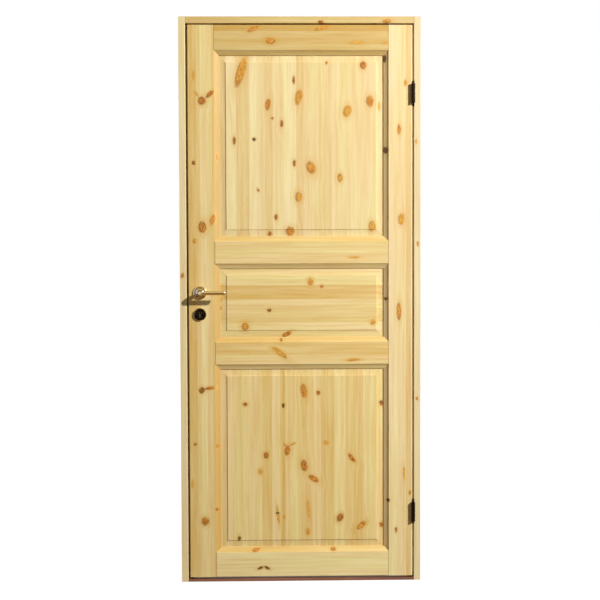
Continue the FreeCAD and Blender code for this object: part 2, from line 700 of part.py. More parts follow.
def spindle_edges():
    return ("spindle_x - spindle_side / 2", "spindle_x + spindle_side / 2",
            "lever_height - spindle_side / 2", "lever_height + spindle_side / 2")


def handles():
    bar = new_body("spindle")
    sketch = box_outline(new_sketch(bar, "spindle_end", "XZ_Plane", "face - spindle_reach"),
                         *spindle_edges())
    pad(bar, sketch, "leaf_thickness + 2 * spindle_reach", reverse=True)
    hole = "bar_diameter / 2 + neck_play"
    return [
        bar,
        lever("front_lever", -1),
        lever("back_lever", 1),
        rose("front_rose", -1, "lever_height", hole),
        rose("back_rose", 1, "lever_height", hole),
        escutcheon("front_key_escutcheon", -1),
        escutcheon("back_key_escutcheon", 1),
    ]


pieces = frame() + leaf_joinery()
pieces += hinge("upper_hinge", "upper_hinge_height")
pieces += hinge("lower_hinge", "lower_hinge_height")
pieces += lock() + handles()
doc.recompute()

failed = [item.Name for item in doc.Objects if {"Invalid", "Error"} & set(item.State)]
if failed:
    raise RuntimeError(f"failed to build: {failed}")
os.makedirs("parts", exist_ok=True)
for piece in pieces:
    shape = piece.Shape
    if shape.isNull() or not shape.isValid() or len(shape.Solids) != 1:
        raise RuntimeError(f"{piece.Label} is not one sound solid")
    shape.exportStep(f"parts/{piece.Label}.step")
    box = shape.BoundBox
    print(f"{piece.Label}: {shape.Volume / 1000:.1f} cm3, "
          f"{box.XMin:.1f}..{box.XMax:.1f}, {box.YMin:.1f}..{box.YMax:.1f}, "
          f"{box.ZMin:.1f}..{box.ZMax:.1f}")
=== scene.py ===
"""Looks of a knotty pine interior door in its frame: wood, fittings, small screws and the stage."""

import json
import math

import bmesh
import bpy
from mathutils import Matrix, Vector

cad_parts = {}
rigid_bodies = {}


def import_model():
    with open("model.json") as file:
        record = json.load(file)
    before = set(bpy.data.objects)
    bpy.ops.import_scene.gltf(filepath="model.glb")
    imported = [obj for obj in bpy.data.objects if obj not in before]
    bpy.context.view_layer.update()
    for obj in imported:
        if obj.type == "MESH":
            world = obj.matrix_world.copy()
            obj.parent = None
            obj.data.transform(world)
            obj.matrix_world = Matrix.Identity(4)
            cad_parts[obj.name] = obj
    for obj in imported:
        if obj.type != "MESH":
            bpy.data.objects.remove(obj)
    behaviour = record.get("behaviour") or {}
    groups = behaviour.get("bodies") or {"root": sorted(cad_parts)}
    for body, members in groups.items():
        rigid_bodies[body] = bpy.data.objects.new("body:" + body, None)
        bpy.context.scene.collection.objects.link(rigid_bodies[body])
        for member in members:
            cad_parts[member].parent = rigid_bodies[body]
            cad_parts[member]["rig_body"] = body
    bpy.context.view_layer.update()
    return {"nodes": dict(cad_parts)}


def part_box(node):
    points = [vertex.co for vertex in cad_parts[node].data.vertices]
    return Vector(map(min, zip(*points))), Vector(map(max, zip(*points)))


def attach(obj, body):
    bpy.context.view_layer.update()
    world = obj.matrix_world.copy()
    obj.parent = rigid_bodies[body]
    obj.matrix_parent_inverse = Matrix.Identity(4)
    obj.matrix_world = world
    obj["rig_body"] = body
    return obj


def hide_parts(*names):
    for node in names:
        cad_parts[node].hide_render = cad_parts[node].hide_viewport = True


bl_info = {
    "name": "Knotty pine door",
    "version": (1, 0, 0),
    "blender": (4, 5, 0),
    "location": "View3D > Sidebar > Door",
    "description": "Finishes a panelled pine door: boards, knots, hinges, lock and handles",
    "category": "Object",
}

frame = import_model()
LEAF_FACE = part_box("lock_stile")[0].y
SPINDLE = (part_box("spindle")[0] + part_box("spindle")[1]) / 2
WELD = 2e-6  # corners of CAD triangles closer than this are one corner
FLAT_DEGREES = 0.4  # CAD triangles that meet flatter than this are one face
SHARP_DEGREES = 34  # edges sharper than this are eased
HINGE_ARRIS, PLATE_ARRIS, ESCUTCHEON_ARRIS = 0.0006, 0.0004, 0.0009
SCREW_RADIUS = 0.0038  # the head of a 4 mm wood screw
JOINT_ENDS = (-761, -118)  # where the rails butt against the stiles, in mm along the rails


def colour(code):
    """Turn an sRGB hex value into linear red, green, blue and alpha."""
    parts = [int(code[i:i + 2], 16) / 255 for i in (1, 3, 5)]
    return tuple(p / 12.92 if p <= 0.04045 else ((p + 0.055) / 1.055) ** 2.4 for p in parts) + (1.0,)


class DoorWoodSettings(bpy.types.PropertyGroup):
    pale: bpy.props.FloatVectorProperty(
        name="Pale pine", description="Colour of the palest sapwood staves under lacquer",
        subtype="COLOR", size=4, min=0, max=1, default=colour("#F0E29F"))
    deep: bpy.props.FloatVectorProperty(
        name="Deep pine", description="Colour of the most orange heartwood staves",
        subtype="COLOR", size=4, min=0, max=1, default=colour("#D4A850"))
    peach: bpy.props.FloatVectorProperty(
        name="Peach pine", description="Colour of the pinkish staves between the yellow ones",
        subtype="COLOR", size=4, min=0, max=1, default=colour("#F2DAA2"))
    figure: bpy.props.FloatProperty(
        name="Figure", description="Strength of the growth rings in the boards",
        subtype="FACTOR", min=0, max=1, default=0.12)
    arris: bpy.props.FloatProperty(
        name="Arris", description="Radius of the sanded edges of rails, stiles and panels",
        unit="LENGTH", min=0, max=0.003, default=0.0006)


class DoorMetalSettings(bpy.types.PropertyGroup):
    chrome: bpy.props.FloatVectorProperty(
        name="Chrome", description="Colour of the levers, roses and key escutcheons",
        subtype="COLOR", size=4, min=0, max=1, default=colour("#D6CAB0"))
    hinge: bpy.props.FloatVectorProperty(
        name="Hinge steel", description="Colour of the hinges",
        subtype="COLOR", size=4, min=0, max=1, default=colour("#2A1D14"))
    lock: bpy.props.FloatVectorProperty(
        name="Lock steel", description="Colour of the lock and its plates",
        subtype="COLOR", size=4, min=0, max=1, default=colour("#B9B5AE"))
    tip_round: bpy.props.FloatProperty(
        name="Lever tip", description="Radius of the rounded tip of a lever",
        unit="LENGTH", min=0.001, max=0.0074, default=0.006)


def add(tree, kind, sockets=None, **settings):
    """Add a node, set its properties, and give its input sockets their values or links."""
    node = tree.nodes.new(kind)
    for name, value in settings.items():
        setattr(node, name, value)
    for name, value in (sockets or {}).items():
        if isinstance(value, bpy.types.NodeSocket):
            tree.links.new(value, node.inputs[name])
        else:
            node.inputs[name].default_value = value
    return node


def new_group(name, inputs, outputs):
    """A node group with the given sockets, and its two end nodes."""
    tree = bpy.data.node_groups.new(name, "ShaderNodeTree")
    for kind, names in (("INPUT", inputs), ("OUTPUT", outputs)):
        for socket_name, socket_type in names:
            tree.interface.new_socket(socket_name, in_out=kind, socket_type="NodeSocket" + socket_type)
    return tree, add(tree, "NodeGroupInput").outputs, add(tree, "NodeGroupOutput").inputs


def knot_group():
    """One knot: how far a point is from it, and where the grain that flows round it comes from."""
    if "Knot" in bpy.data.node_groups:
        return bpy.data.node_groups["Knot"]
    tree, given, result = new_group(
        "Knot",
        [("Place", "Vector"), ("Grain", "Vector"), ("Wobble", "Vector"), ("Nearest", "Float"),
         ("Darkness", "Float"), ("Centre", "Vector"), ("Size", "Vector"), ("Tilt", "Float"),
         ("Own darkness", "Float")],
        [("Grain", "Vector"), ("Nearest", "Float"), ("Darkness", "Float")])
    away = add(tree, "ShaderNodeVectorMath", {0: given["Place"], 1: given["Centre"]}, operation="SUBTRACT")
    flat = add(tree, "ShaderNodeVectorMath", {0: away.outputs[0], 1: (1, 1, 0)}, operation="MULTIPLY")
    turned = add(tree, "ShaderNodeVectorRotate", {"Vector": flat.outputs[0], "Angle": given["Tilt"]},
                 rotation_type="Z_AXIS")
    uneven = add(tree, "ShaderNodeVectorMath", {0: turned.outputs[0], 1: given["Wobble"]}, operation="ADD")
    scaled = add(tree, "ShaderNodeVectorMath", {0: uneven.outputs[0], 1: given["Size"]}, operation="DIVIDE")
    distance = add(tree, "ShaderNodeVectorMath", {0: scaled.outputs[0]}, operation="LENGTH").outputs["Value"]
    square = add(tree, "ShaderNodeMath", {0: distance, 1: distance}, operation="MULTIPLY")
    spread = add(tree, "ShaderNodeMath", {0: square.outputs[0], 1: -0.28}, operation="MULTIPLY")
    reach = add(tree, "ShaderNodeMath", {0: spread.outputs[0]}, operation="EXPONENT")
    # The grain is drawn from nearer the knot's middle line, so that it parts and flows round the knot
    across = add(tree, "ShaderNodeVectorMath", {0: away.outputs[0], 1: (0.8, 0, 0)}, operation="MULTIPLY")
    pull = add(tree, "ShaderNodeVectorMath", {0: across.outputs[0], "Scale": reach.outputs[0]},
               operation="SCALE")
    grain = add(tree, "ShaderNodeVectorMath", {0: given["Grain"], 1: pull.outputs[0]}, operation="SUBTRACT")
    nearest = add(tree, "ShaderNodeMath", {0: given["Nearest"], 1: distance}, operation="MINIMUM")
    closer = add(tree, "ShaderNodeMath", {0: distance, 1: given["Nearest"]}, operation="LESS_THAN")
    dark = add(tree, "ShaderNodeMix", {0: closer.outputs[0], 2: given["Darkness"], 3: given["Own darkness"]})
    tree.links.new(grain.outputs[0], result["Grain"])
    tree.links.new(nearest.outputs[0], result["Nearest"])
    tree.links.new(dark.outputs[0], result["Darkness"])
    return tree


def board_group():
    """Pine under clear lacquer: pale earlywood, darker latewood rings, broad streaks and fine fibre."""
    if "Pine board" in bpy.data.node_groups:
        return bpy.data.node_groups["Pine board"]
    wood = bpy.context.scene.door_wood
    tree, given, result = new_group(
        "Pine board",
        [("Grain", "Vector"), ("Tone", "Float"), ("Nearest", "Float"), ("Darkness", "Float"),
         ("Side", "Float"), ("Tint and shade share", "Float"), ("Tint and shade colour", "Color"), ("Joint shade", "Float")],
        [("Colour", "Color"), ("Roughness", "Float")])
    # Each stave is cut from another part of the tree, so its tone shifts it along the pattern
    shift = add(tree, "ShaderNodeVectorMath", {0: (310, 5200, 170), "Scale": given["Tone"]},
                operation="SCALE")
    place = add(tree, "ShaderNodeVectorMath", {0: given["Grain"], 1: shift.outputs[0]},
                operation="ADD").outputs[0]
    # Noise of each kind, with its size in mm across the grain, along it and into the board
    patterns = {}
    for name, step, detail in (("broad", (38, 420, 38), 2), ("streak", (9, 300, 9), 3),
                               ("blotch", (70, 330, 70), 1), ("fibre", (0.9, 26, 0.9), 1),
                               ("hue", (34, 700, 34), 2)):
        stretched = add(tree, "ShaderNodeVectorMath", {0: place, 1: step}, operation="DIVIDE")
        patterns[name] = add(tree, "ShaderNodeTexNoise", {
            "Vector": stretched.outputs[0], "Scale": 1.0, "Detail": detail, "Roughness": 0.5}).outputs[0]
    # Growth rings are level lines of a slowly changing field. Real ones are 2 to 4 mm apart, too fine
    # for a view of the whole door, so they are drawn about 8 mm apart
    split = add(tree, "ShaderNodeSeparateXYZ", {0: place})
    sideways = add(tree, "ShaderNodeMath", {0: split.outputs[0], 1: 1 / 15}, operation="MULTIPLY")
    deeper = add(tree, "ShaderNodeMath", {0: split.outputs[2], 1: 1 / 6, 2: sideways.outputs[0]},
                 operation="MULTIPLY_ADD")
    wavy = add(tree, "ShaderNodeMath", {0: patterns["broad"], 1: 9, 2: deeper.outputs[0]},
               operation="MULTIPLY_ADD")
    ring = add(tree, "ShaderNodeMath", {0: wavy.outputs[0]}, operation="FRACT")
    late = add(tree, "ShaderNodeMath", {0: ring.outputs[0], 1: 2.2}, operation="POWER")
    fade = add(tree, "ShaderNodeMapRange", {0: ring.outputs[0], 1: 0.88, 2: 1.0, 3: 1.0, 4: 0.0},
               interpolation_type="SMOOTHSTEP")
    late = add(tree, "ShaderNodeMath", {0: late.outputs[0], 1: fade.outputs[0]}, operation="MULTIPLY")
    # How much of the deeper colour there is: the stave's tone, and what each pattern adds or takes
    amount = given["Tone"]
    for source, share, middle in ((late.outputs[0], wood.figure, 0.3), (patterns["streak"], 0.95, 0.5),
                                  (patterns["blotch"], 0.4, 0.5), (patterns["fibre"], 0.1, 0.5)):
        change = add(tree, "ShaderNodeMath", {0: source, 1: middle}, operation="SUBTRACT")
        amount = add(tree, "ShaderNodeMath", {0: change.outputs[0], 1: share, 2: amount},
                     operation="MULTIPLY_ADD").outputs[0]
    amount = add(tree, "ShaderNodeClamp", {0: amount}).outputs[0]
    warm = add(tree, "ShaderNodeMapRange", {0: patterns["hue"], 1: 0.38, 2: 0.62})
    light = add(tree, "ShaderNodeMix", {0: warm.outputs[0], 6: tuple(wood.pale), 7: tuple(wood.peach)},
                data_type="RGBA")
    board = add(tree, "ShaderNodeMix", {0: amount, 6: light.outputs[2], 7: tuple(wood.deep)},
                data_type="RGBA")
    # Tones past 1 darken the board towards a dull brown: painted shade that tones down the lock stile's
    # moulding where the key lamp lights it too brightly
    moulding_shade = add(tree, "ShaderNodeMapRange", {0: given["Tone"], 1: 1.0, 2: 2.0, 3: 0.0, 4: 1.0})
    board = add(tree, "ShaderNodeMix", {0: moulding_shade.outputs[0], 6: board.outputs[2], 7: colour("#9C8350")},
                data_type="RGBA")
    # Knots: a tan halo, and a golden to near-black heart with patches and faint rings of its own
    halo = add(tree, "ShaderNodeMapRange", {0: given["Nearest"], 1: 0.9, 2: 2.5, 3: 0.42, 4: 0.0},
               interpolation_type="SMOOTHSTEP")
    stained = add(tree, "ShaderNodeMix", {0: halo.outputs[0], 6: board.outputs[2], 7: colour("#DBA94E")},
                  data_type="RGBA")
    uneven = add(tree, "ShaderNodeVectorMath", {0: given["Grain"], 1: (1.6, 12, 1.6)}, operation="DIVIDE")
    uneven = add(tree, "ShaderNodeTexNoise", {"Vector": uneven.outputs[0], "Scale": 1.0, "Detail": 2.0})
    patchy = add(tree, "ShaderNodeMapRange", {0: uneven.outputs[0], 1: 0.32, 2: 0.68, 3: -0.2, 4: 0.17})
    depth = add(tree, "ShaderNodeMath", {0: given["Darkness"], 1: patchy.outputs[0]}, operation="ADD")
    heart = add(tree, "ShaderNodeValToRGB", {0: depth.outputs[0]})
    stops = heart.color_ramp.elements
    stops[0].color = colour("#E0AE46")
    stops[1].color = colour("#2A1807")
    for position, code in ((0.35, "#D69A30"), (0.5, "#C77C18"), (0.63, "#AC600E"), (0.8, "#62400A")):
        stops.new(position).color = colour(code)
    rings = add(tree, "ShaderNodeMath", {0: given["Nearest"], 1: 19}, operation="MULTIPLY")
    rings = add(tree, "ShaderNodeMath", {0: rings.outputs[0]}, operation="SINE")
    rings = add(tree, "ShaderNodeMapRange", {0: rings.outputs[0], 1: -1, 2: 1, 3: 0.0, 4: 0.05})
    # The bark that grew in round the branch: a dark rim, heavier on one side
    rim = add(tree, "ShaderNodeMapRange", {0: given["Nearest"], 1: 0.45, 2: 0.95, 3: 0.0, 4: 1.0},
              interpolation_type="SMOOTHSTEP")
    side = add(tree, "ShaderNodeMapRange", {0: given["Side"], 1: -3.0, 2: 2.0, 3: 1.3, 4: 0.15})
    rim = add(tree, "ShaderNodeMath", {0: rim.outputs[0], 1: side.outputs[0]}, operation="MULTIPLY")
    rim = add(tree, "ShaderNodeMath", {0: rim.outputs[0], 1: given["Darkness"], 2: rings.outputs[0]},
              operation="MULTIPLY_ADD")
    ringed = add(tree, "ShaderNodeMix", {0: rim.outputs[0], 6: heart.outputs[0], 7: colour("#6E3E06")},
                 data_type="RGBA")
    inside = add(tree, "ShaderNodeMapRange", {0: given["Nearest"], 1: 0.72, 2: 1.2, 3: 0.96, 4: 0.0},
                 interpolation_type="SMOOTHSTEP")
    # The board is mixed towards its tint colour between its knots, and the resin of a knot shows clear
    # through it. On the head and the top rail the tint is a dark brown: painted shade.
    tinted_and_shaded = add(tree, "ShaderNodeMix", {0: given["Tint and shade share"], 6: stained.outputs[2], 7: given["Tint and shade colour"]},
               data_type="RGBA")
    final = add(tree, "ShaderNodeMix", {0: inside.outputs[0], 6: tinted_and_shaded.outputs[2], 7: ringed.outputs[2]},
                data_type="RGBA")
    # A dark line of painted shade along the joints between rails and stiles
    final = add(tree, "ShaderNodeMix", {0: given["Joint shade"], 6: final.outputs[2], 7: colour("#7A5A26")},
                data_type="RGBA")
    rough = add(tree, "ShaderNodeMapRange", {0: patterns["fibre"], 1: 0.3, 2: 0.7, 3: 0.48, 4: 0.6})
    tree.links.new(final.outputs[2], result["Colour"])
    tree.links.new(rough.outputs[0], result["Roughness"])
    return tree


def pine(name, upright, staves, knots=(), start=0.0, tint_and_shade_share=0.0, tint_and_shade_colour="#FFFDF2", ends=()):
    """Knotty pine, planed, glued up from staves and lacquered clear, which gives warm pale boards with
    orange knots under a soft satin sheen.

    upright says that the grain runs up, not along the door's width. staves are (far edge in mm, tone)
    across the grain; a tone past 1 darkens the stave towards a dull brown, which is painted shade. knots
    are (x, z, half width, half length, lean in degrees, darkness) in mm on the face of the door. start
    moves the pattern, so that no two boards are alike. tint_and_shade_share is how far the board between
    its knots is mixed towards tint_and_shade_colour: a pale tint on the jambs, the hinge stile and the
    upper panel, and a dark brown on the head and the top rail, which is painted shade. ends are where it
    butts against its neighbours, in mm along the grain, and where a line of painted shade is drawn."""
    material = bpy.data.materials.new(name)
    material.use_nodes = True
    tree = material.node_tree
    tree.nodes.clear()
    there = add(tree, "ShaderNodeTexCoord").outputs["Object"]
    split = add(tree, "ShaderNodeSeparateXYZ", {0: there})
    # From here on places are (across the grain, along it, into the board), in mm
    order = (0, 2, 1) if upright else (2, 0, 1)
    joined = add(tree, "ShaderNodeCombineXYZ", {i: split.outputs[axis] for i, axis in enumerate(order)})
    place = add(tree, "ShaderNodeVectorMath", {0: joined.outputs[0], "Scale": 1000.0},
                operation="SCALE").outputs[0]
    across, along = add(tree, "ShaderNodeSeparateXYZ", {0: place}).outputs[:2]

    # A knot isn't a true oval: its outline wanders by up to 4 mm across the grain and 7 mm along it
    noise = add(tree, "ShaderNodeTexNoise", {"Vector": place, "Scale": 0.17, "Detail": 2.0})
    wobble = add(tree, "ShaderNodeVectorMath", {0: noise.outputs["Color"], 1: (0.5, 0.5, 0.5)},
                 operation="SUBTRACT")
    wobble = add(tree, "ShaderNodeVectorMath", {0: wobble.outputs[0], 1: (8, 14, 0)}, operation="MULTIPLY")
    grain, nearest, darkness = place, 99.0, 0.0
    for x, z, half_width, half_length, lean, dark in knots:
        knot = add(tree, "ShaderNodeGroup", {
            "Place": place, "Grain": grain, "Wobble": wobble.outputs[0], "Nearest": nearest,
            "Darkness": darkness, "Centre": (x, z, 0) if upright else (z, x, 0),
            "Size": (half_width, half_length, 1), "Own darkness": dark,
            "Tilt": math.radians(lean if upright else 90 - lean)}, node_tree=knot_group()).outputs
        grain, nearest, darkness = knot["Grain"], knot["Nearest"], knot["Darkness"]

    # The tone of each stave up to its far edge, with 60 mm for the first one
    edges, tones = zip(*staves)
    low, high = edges[0] - 60, edges[-1]
    share = add(tree, "ShaderNodeMapRange", {0: across, 1: low, 2: high})
    lookup = add(tree, "ShaderNodeValToRGB", {0: share.outputs[0]})
    lookup.color_ramp.interpolation = "CONSTANT"
    stops = lookup.color_ramp.elements
    stops[0].color = (tones[0],) * 3 + (1,)
    stops[1].position = (edges[0] - low) / (high - low)
    stops[1].color = (tones[min(1, len(tones) - 1)],) * 3 + (1,)
    for edge, tone in zip(edges[1:-1], tones[2:]):
        stops.new((edge - low) / (high - low)).color = (tone,) * 3 + (1,)

    # Painted shade along each joint, where the V-groove between rail and stile is in shade; drawn 4 mm wide,
    # because the real hairline is too fine to show
    joint_shade = 0.0
    for end in ends:
        line = add(tree, "ShaderNodeMath", {0: along, 1: end, 2: 2.0}, operation="COMPARE")
        joint_shade = add(tree, "ShaderNodeMath", {0: line.outputs[0], 1: 0.6, 2: joint_shade},
                    operation="MULTIPLY_ADD").outputs[0]

    moved = add(tree, "ShaderNodeVectorMath", {0: (start * 9, start * 700, start * 40), 1: grain},
                operation="ADD")
    pulled = add(tree, "ShaderNodeVectorMath", {0: place, 1: grain}, operation="SUBTRACT")
    side = add(tree, "ShaderNodeSeparateXYZ", {0: pulled.outputs[0]}).outputs[0]
    board = add(tree, "ShaderNodeGroup", {
        "Grain": moved.outputs[0], "Tone": lookup.outputs[0], "Nearest": nearest, "Darkness": darkness,
        "Side": side, "Tint and shade share": tint_and_shade_share, "Tint and shade colour": colour(tint_and_shade_colour), "Joint shade": joint_shade}, node_tree=board_group())
    fibre = add(tree, "ShaderNodeVectorMath", {0: place, 1: (1.1, 30, 1.1)}, operation="DIVIDE")
    fibre = add(tree, "ShaderNodeTexNoise", {"Vector": fibre.outputs[0], "Scale": 1.0, "Detail": 2.0})
    bump = add(tree, "ShaderNodeBump", {"Strength": 0.3, "Distance": 0.0002, "Height": fibre.outputs[0]})
    surface = add(tree, "ShaderNodeBsdfPrincipled", {
        "Base Color": board.outputs["Colour"], "Roughness": board.outputs["Roughness"],
        "Normal": bump.outputs[0], "Coat Weight": 0.15, "Coat Roughness": 0.16, "IOR": 1.5})
    add(tree, "ShaderNodeOutputMaterial", {"Surface": surface.outputs[0]})
    return material


def metal(name, base, roughness, brushed=(1, 1, 1), smudge=0.06):
    """A metal finish: an even colour, with handling marks some 6 mm wide that change its gloss.

    brushed squeezes the marks into lines along an axis, and smudge is how much duller they are."""
    material = bpy.data.materials.new(name)
    material.use_nodes = True
    tree = material.node_tree
    tree.nodes.clear()
    there = add(tree, "ShaderNodeTexCoord").outputs["Object"]
    stretched = add(tree, "ShaderNodeMapping", {"Vector": there, "Scale": brushed})
    marks = add(tree, "ShaderNodeTexNoise", {"Vector": stretched.outputs[0], "Scale": 160.0, "Detail": 3.0})
    rough = add(tree, "ShaderNodeMapRange", {0: marks.outputs[0], 1: 0.3, 2: 0.7,
                                             3: roughness, 4: roughness + smudge})
    darker = tuple(part * 0.82 for part in base[:3]) + (1,)
    tint = add(tree, "ShaderNodeMix", {0: marks.outputs[0], 6: tuple(base), 7: darker}, data_type="RGBA")
    bump = add(tree, "ShaderNodeBump", {"Strength": 0.05, "Distance": 0.0001, "Height": marks.outputs[0]})
    surface = add(tree, "ShaderNodeBsdfPrincipled", {
        "Base Color": tint.outputs[2], "Metallic": 1.0, "Roughness": rough.outputs[0],
        "Normal": bump.outputs[0]})
    add(tree, "ShaderNodeOutputMaterial", {"Surface": surface.outputs[0]})
    return material


def body_of(node):
    """The name of the body that carries a node."""
    return frame["nodes"][node]["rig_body"]


def finish_mesh(name, work, material, body, smooth_degrees=32):
    """Make an object from a bmesh, shade it by angle, and let it ride on its body."""
    for face in work.faces:
        face.smooth = True
    for edge in work.edges:
        edge.smooth = edge.is_manifold and edge.calc_face_angle(0) < math.radians(smooth_degrees)
    mesh = bpy.data.meshes.new(name)
    work.to_mesh(mesh)
    work.free()
    mesh.materials.append(material)
    piece = bpy.data.objects.new(name, mesh)
    bpy.context.scene.collection.objects.link(piece)
    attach(piece, body)
    return piece


def dress(node, material, arris):
    """Stand a merged copy of a CAD node in for it, with its edges eased."""
    mesh = frame["nodes"][node].data.copy()
    for attribute in [a.name for a in mesh.attributes if "normal" in a.name]:
        mesh.attributes.remove(mesh.attributes[attribute])
    work = bmesh.new()
    work.from_mesh(mesh)
    bpy.data.meshes.remove(mesh)
    bmesh.ops.remove_doubles(work, verts=work.verts, dist=WELD)
    bmesh.ops.dissolve_limit(work, angle_limit=math.radians(FLAT_DEGREES), verts=work.verts,
                             edges=work.edges)
    for face in work.faces:
        face.material_index = 0
    piece = finish_mesh(node + "_finished", work, material, body_of(node))
    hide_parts(node)
    eased = piece.modifiers.new("Eased edges", "BEVEL")
    eased.width = arris
    eased.segments = 2
    eased.limit_method = "ANGLE"
    eased.angle_limit = math.radians(SHARP_DEGREES)
    eased.miter_outer = "MITER_ARC"
    eased.harden_normals = True


class DOOR_OT_frame_boards(bpy.types.Operator):
    """Finish the jambs, the head and the planted stops in knotty pine"""
    bl_idname = "door.frame_boards"
    bl_label = "Frame boards"

    def execute(self, context):
        arris = context.scene.door_wood.arris
        right = pine(
            "Knotty pine, hinge jamb", True, [(0, 0.34)],
            [(-10, 1255, 5, 8, 0, 0.45), (-13, 682, 5, 7, 0, 0.4), (-16, 1632, 4, 9, 0, 0.3)],
            start=1.3, tint_and_shade_share=0.3, tint_and_shade_colour="#DCD4C2")
        left = pine(
            "Knotty pine, lock jamb", True, [(-865, 0.28)], [(-880, 1140, 6, 9, 0, 0.6)],
            start=4.7, tint_and_shade_share=0.25, tint_and_shade_colour="#D2C9B4")
        # The head, and the head stop with it, are mixed towards a dark brown: painted shade that darkens the
        # top of the frame
        head = pine(
            "Knotty pine, head", False, [(2090, 0.55)],
            [(-367, 2069, 6, 11, 90, 0.62), (-124, 2073, 8, 16, 84, 0.5)],
            start=2.1, tint_and_shade_share=0.18, tint_and_shade_colour="#8C7F62")
        plain = pine("Knotty pine, stops", True, [(0, 0.45)], start=6.4)
        for node, material in (("hinge_jamb", right), ("lock_jamb", left), ("frame_head", head),
                               ("hinge_jamb_stop", plain), ("lock_jamb_stop", plain), ("head_stop", head)):
            dress(node, material, arris)
        return {"FINISHED"}


class DOOR_OT_leaf_boards(bpy.types.Operator):
    """Finish the stiles and rails of the leaf in knotty pine"""
    bl_idname = "door.leaf_boards"
    bl_label = "Stiles and rails"

    def execute(self, context):
        arris = context.scene.door_wood.arris
        lock_stile = pine(
            "Knotty pine, lock stile", True,
            # The last stave is the moulding along the panels; its tone past 1 is painted shade, which tones
            # down the key lamp's light on it
            [(-827, 0.72), (-812, 0.48), (-790, 0.26), (-769, 0.42), (-761.5, 0.6), (-738, 1.36)],
            [(-805, 1782, 15, 15, 0, 0.6), (-775, 1807, 8, 19, 46, 0.58), (-824, 1806, 4, 12, -40, 0.2),
             (-835, 1874, 5, 18, 0, 0.25), (-837, 1555, 7, 8, 0, 0.72), (-749, 1577, 5, 11, 0, 0.4),
             (-806, 1319, 15, 22, 0, 0.56), (-768, 1345, 9, 21, 22, 0.46), (-835, 1268, 6, 8, 0, 0.42),
             (-811, 716, 12, 11, 0, 0.74), (-782, 723, 6, 20, 82, 0.5), (-837, 515, 6, 7, 0, 0.6),
             (-752, 507, 8, 7, 0, 0.45), (-848, 366, 5, 15, 0, 0.22), (-801, 226, 14, 16, 0, 0.57),
             (-756, 270, 7, 6, 0, 0.6)], start=3.1)
        hinge_stile = pine(
            "Knotty pine, hinge stile", True,
            [(-118, 0.64), (-84, 0.38), (-54, 0.46), (-36, 0.84), (-30, 0.5)],
            [(-55, 1847, 6, 12, 0, 0.35), (-79, 1676, 7, 19, 0, 0.46), (-71, 1346, 12, 22, 0, 0.36),
             (-80, 1005, 9, 33, 0, 0.48), (-61, 401, 4, 26, 0, 0.25), (-39, 328, 5, 9, 0, 0.5),
             (-91, 188, 5, 11, 0, 0.6), (-132, 1936, 7, 15, 0, 0.9), (-129, 1601, 10, 13, 0, 0.9),
             (-128, 1052, 7, 7, 0, 1.0), (-120, 300, 7, 6, 0, 1.0)], start=8.6, tint_and_shade_share=0.09)
        # The top rail is mixed towards a dark brown: painted shade that darkens the top of the leaf
        top_rail = pine(
            "Knotty pine, top rail", False,
            [(1962, 0.65), (1988, 0.55), (2013, 0.75), (2036, 0.55), (2060, 1.0)],
            [(-615, 2045, 8, 25, 64, 0.45), (-553, 2001, 12, 18, 90, 0.46), (-362, 2049, 8, 31, 74, 0.36),
             (-233, 1995, 6, 28, 88, 0.25), (-134, 1994, 5, 8, 90, 0.3)],
            start=5.2, tint_and_shade_share=0.26, tint_and_shade_colour="#9A7A40", ends=JOINT_ENDS)
        upper_middle_rail = pine(
            "Knotty pine, upper middle rail", False,
            # The top stave, the moulding that faces up, is deeper than its neighbours: painted shade, which
            # tones down the key lamp's light on it
            [(1190, 0.4), (1240, 0.36), (1266, 0.42), (1289, 0.68)],
            [(-246, 1206, 4, 19, 90, 0.3)], start=0.8, ends=JOINT_ENDS)
        lower_middle_rail = pine(
            "Knotty pine, lower middle rail", False,
            [(812, 0.4), (845, 0.45), (893, 0.66), (916, 0.72)],
            [(-522, 853, 9, 34, -52, 0.34), (-250, 826, 5, 26, 86, 0.38), (-517, 901, 5, 7, 0, 0.66)],
            start=7.3, ends=JOINT_ENDS)
        bottom_rail = pine(
            "Knotty pine, bottom rail", False,
            [(60, 0.2), (109, 0.15), (132, 0.66)],
            [(-613, 117, 6, 15, 78, 0.52), (-597, 50, 5, 12, 64, 0.85), (-573, 50, 5, 12, -64, 0.85),
             (-326, 118, 7, 10, 90, 0.56)], start=9.9, ends=JOINT_ENDS)
        for node, material in (("lock_stile", lock_stile), ("hinge_stile", hinge_stile),
                               ("top_rail", top_rail), ("upper_middle_rail", upper_middle_rail),
                               ("lower_middle_rail", lower_middle_rail), ("bottom_rail", bottom_rail)):
            dress(node, material, arris)
        return {"FINISHED"}


